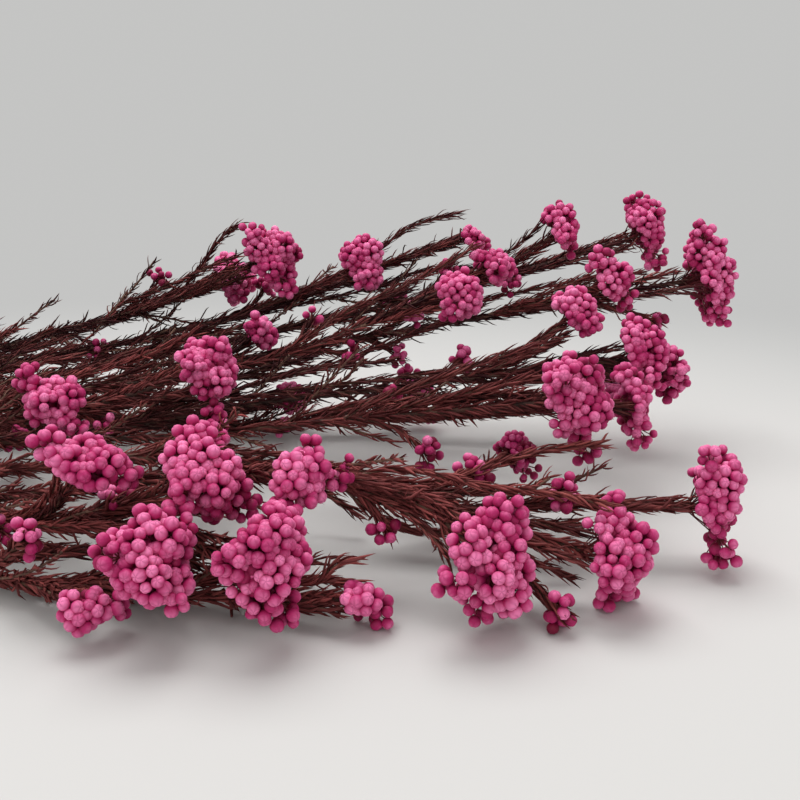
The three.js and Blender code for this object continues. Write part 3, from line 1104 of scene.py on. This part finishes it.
def makeBlossoms(name, spots, forks, hub, radii, tones, random, replaced):
    count = len(spots)
    axes = unit(unit(spots - forks) + random.normal(0, head["nod"], (count, 3)))
    turns = turnsTowards(axes, random)
    kind = random.integers(0, len(templates), count)
    shapes = np.stack([templates[k][0] for k in kind])
    size = shapes.shape[1]
    squash = 1 + random.normal(0, head["squash"], (count, 1, 3))
    body = np.einsum("nij,nvj->nvi", turns, shapes * squash) * radii[:, None, None] + spots[:, None]
    body[..., 2] = np.maximum(body[..., 2], 0.0001)
    fold = np.concatenate([templates[k][1] for k in kind])
    tip = np.concatenate([templates[k][2] for k in kind])
    base = np.arange(count)[:, None, None] * size
    stalkEnds = spots - axes * radii[:, None] * 0.9
    start = np.broadcast_to(hub, spots.shape)
    turn = (forks + stalkEnds) / 2 - axes * radii[:, None] * 0.3
    paths = np.stack([start, forks, turn, stalkEnds, stalkEnds + axes * radii[:, None] * 0.5], 1)
    sideways = unit(np.cross(axes, [0.3, 0.2, 1.0]))
    width = np.full(count, head["stalkWidth"] * millimetre)
    stalkVerts, stalkFaces, stalkUvs, _ = blades(paths, sideways, width, 1.0)
    cells, columns = cellGrid(2 * count)
    quadUv = cellUv(cells[:count], columns, ballQuadUv)
    triUv = cellUv(cells[:count], columns, ballTriUv)
    # the stalks' patches share the second half of the grid
    shift = cells[count:] / columns
    own, ownColumns = cellGrid(count)
    own = own[:, None, None, :] / ownColumns
    stalkUvs = [(uv - own) * ownColumns / columns + shift[:, None, None, :] for uv in stalkUvs]
    verts = np.concatenate([body.reshape(-1, 3), stalkVerts])
    quads = np.concatenate([(base + ballQuads[None]).reshape(-1, 4), stalkFaces[0] + count * size])
    tris = np.concatenate([(base + ballTris[None]).reshape(-1, 3), stalkFaces[1] + count * size])
    uvs = [np.concatenate([quadUv.reshape(-1, 4, 2), stalkUvs[0].reshape(-1, 4, 2)]),
           np.concatenate([triUv.reshape(-1, 3, 2), stalkUvs[1].reshape(-1, 3, 2)])]
    plain = np.zeros(len(stalkVerts))
    # tip and fold carry each blossom's painted highlight and painted shade
    marks = {
        "tone": np.concatenate([np.repeat(tones, size), plain + 0.5]),
        "tip": np.concatenate([tip, plain]),
        "fold": np.concatenate([fold, plain]),
        "stalk": np.concatenate([np.zeros(count * size), plain + 1]),
    }
    makePiece(name, blossom, verts, [quads, tris], uvs, marks, replaced)


def umbelSpots(end, axis, count, radius, random):
    towards = unit(unit(random.normal(size=(count, 3))) + axis * looseTip["forward"])
    reach = looseTip["reach"] * millimetre * (count / looseTip["usual"]) ** looseTip["growth"]
    spots = end + towards * reach * random.uniform(*looseTip["reachSpread"], (count, 1))
    for _ in range(pushing["rounds"]):
        spots = pushedApart(spots, 2 * looseTip["closeness"] * radius)
    return spots


def ballRadiusAt(point):
    return (ball["backRadius"] + (ball["frontRadius"] - ball["backRadius"]) * nearnessOf(point)) * millimetre


def makeHead(headName, random):
    corners = np.array(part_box(headName))
    centre, half = corners.mean(0), np.ptp(corners, axis=0) / 2
    line = headHolders[headName]
    axis = unit(unit(centre - line["points"][-4]) + np.array(head["leanTo"]))
    radius = ballRadiusAt(centre) * head["budded"].get(headName, 1.0)
    dome = half * head["grown"] - head["inset"] * radius
    outer, umbel, fork = packBalls(centre, dome, axis, radius, random, head["underside"])
    layers, forks = [outer], [fork]
    random.normal(size=len(outer))  # spent unused, so that the draws after it stay the same
    umbelTones = random.normal(0, head["umbelTones"], head["mostUmbels"])
    tones = [head["tone"] + umbelTones[umbel] + random.normal(0, head["blossomTones"], len(outer))]
    # the inner layers get low tones, painted shade deep in the head
    for tone, share in zip(head["innerShadeTones"], head["innerShares"]):
        core = (half - radius) * share
        inner, _, fork = packBalls(centre, core, axis, radius, random, head["innerUnderside"])
        layers.append(inner)
        forks.append(fork)
        tones.append(np.full(len(inner), tone))
    across = unit(np.cross(axis, [0, 0, 1.0]))
    count = round(half.mean() / millimetre / sideUmbels["spacing"])
    for turn in random.uniform(0, 2 * math.pi) + np.arange(count) * 2 * math.pi / count:
        away = across * math.cos(turn) + np.cross(across, axis) * math.sin(turn)
        away = unit(away + axis * sideUmbels["forward"])
        place = centre + away * half * sideUmbels["standOff"]
        umbel = umbelSpots(place, away, int(random.integers(*sideUmbels["blossoms"])), radius, random)
        layers.append(umbel)
        forks.append(np.tile(place - away * sideUmbels["stalk"] * millimetre, (len(umbel), 1)))
        tones.append(random.normal(*sideUmbels["tones"], len(umbel)))
    spots = np.concatenate(layers)
    spots[:, 2] = np.maximum(spots[:, 2], radius)
    radii = radius * np.clip(random.normal(1, ball["spread"], len(spots)), *ball["sizeLimits"])
    change = head["buddedTone"] if headName in head["budded"] else 0
    tones = np.clip(np.concatenate(tones) + change, 0, 1)
    hub = centre - axis * half.min() * head["hubDepth"]
    name = headName.replace("flower_head", "flowerHead")
    makeBlossoms(name, spots, np.concatenate(forks), hub, radii, tones, random, [headName])
    return len(spots)


def makeLooseTip(name, line, count, random):
    end = line["points"][-1]
    axis = unit(end - line["points"][-4])
    radius = ballRadiusAt(end)
    spots = umbelSpots(end, axis, count, radius, random)
    radii = radius * random.uniform(*looseTip["sizes"], count)
    spots[:, 2] = np.maximum(spots[:, 2], radii)
    tones = np.clip(random.normal(*looseTip["tones"], count), 0, 1)
    hub = end - axis * looseTip["stalk"] * millimetre
    makeBlossoms(name, spots, np.tile(end, (count, 1)), hub, radii, tones, random, [])


blossomCount = 0
for number, headName in enumerate(headNames):
    blossomCount += makeHead(headName, np.random.default_rng(seeds["heads"] + number))
print("blossoms made", blossomCount)

tips = []
for stemName, lines in branchLines.items():
    if stemName not in looseTip["flowerless"]:
        tips += [(line, False) for line in lines if line["head"] is None]
    tips += [(line, True) for line in tuftTwigs[stemName]]
for number, (line, isTuft) in enumerate(tips):
    random = np.random.default_rng(seeds["looseTips"] + number)
    blossoms = sideTufts["blossoms"] if isTuft else looseTip["blossoms"]
    makeLooseTip(f"looseBlossoms_{number + 1:02d}", line, int(random.integers(*blossoms)), random)
print("loose tips made", len(tips))


room = {
    "floorSize": 40.0,
    "table": (0.60, 0.592, 0.578),
    "haze": (0.555, 0.555, 0.548),  # what the floor fades to, far off, and the room above it
    "fadeAbout": (0.12, -0.14, 0.0),
    "fadeFrom": 0.20,
    "fadeTo": 0.52,
    "above": (0.80, 0.80, 0.80),
    "hazeUpTo": 0.40,
    "aboveFrom": 0.75,
}


def floorMaterial():
    bench = materialBench("paleTable")
    places = {0: bench.place(), 1: room["fadeAbout"]}
    away = bench.node("ShaderNodeVectorMath", {"operation": "DISTANCE"}, places, out="Value")
    share = bench.node("ShaderNodeMapRange", {"interpolation_type": "SMOOTHSTEP"}, {
        "Value": away, "From Min": room["fadeFrom"], "From Max": room["fadeTo"],
    })
    black = opaque((0, 0, 0))
    return bench.finish(
        Base_Color=bench.mix(share, opaque(room["table"]), black),
        Emission_Color=bench.mix(share, black, opaque(room["haze"])),
        Emission_Strength=1.0,
        Roughness=0.6,
        Specular_IOR_Level=0.0,
    )


def makeFloor():
    half = room["floorSize"] / 2
    mesh = bpy.data.meshes.new("table")
    corners = [(-half, -half, 0), (half, -half, 0), (half, half, 0), (-half, half, 0)]
    mesh.from_pydata(corners, [], [(0, 1, 2, 3)])
    mesh.materials.append(floorMaterial())
    table = bpy.data.objects.new("table", mesh)
    bpy.context.scene.collection.objects.link(table)


lamps = {
    "overhead": {"place": (0.0, 0.45, 1.25), "aim": (0.08, 0, 0), "size": 1.0, "power": 14},
    "front": {"place": (-0.6, -1.2, 0.8), "aim": (0.1, 0, 0.03), "size": 1.0, "power": 3},
}


def makeLamps():
    for name, lamp in lamps.items():
        light = bpy.data.lights.new(name, "AREA")
        light.shape = "SQUARE"
        light.size = lamp["size"]
        light.energy = lamp["power"]
        holder = bpy.data.objects.new(name, light)
        holder.location = lamp["place"]
        aim = np.array(lamp["aim"]) - np.array(lamp["place"])
        down = math.atan2(-aim[2], math.hypot(aim[0], aim[1]))
        heading = math.atan2(aim[1], aim[0])
        holder.rotation_euler = (math.pi / 2 - down, 0, heading - math.pi / 2)
        bpy.context.scene.collection.objects.link(holder)


def makeWorld():
    bench = Bench(bpy.data.worlds.new("softRoom"), "Background")
    place = bench.node("ShaderNodeTexCoord", out="Generated")
    height = bench.node("ShaderNodeSeparateXYZ", None, {0: place}, out="Z")
    stops = [(room["hazeUpTo"], room["haze"]), (room["aboveFrom"], room["above"])]
    bpy.context.scene.world = bench.finish(Color=bench.ramp(height, stops))


makeFloor()
makeLamps()
makeWorld()
bpy.context.scene.view_settings.view_transform = "Standard"
print("room lit")
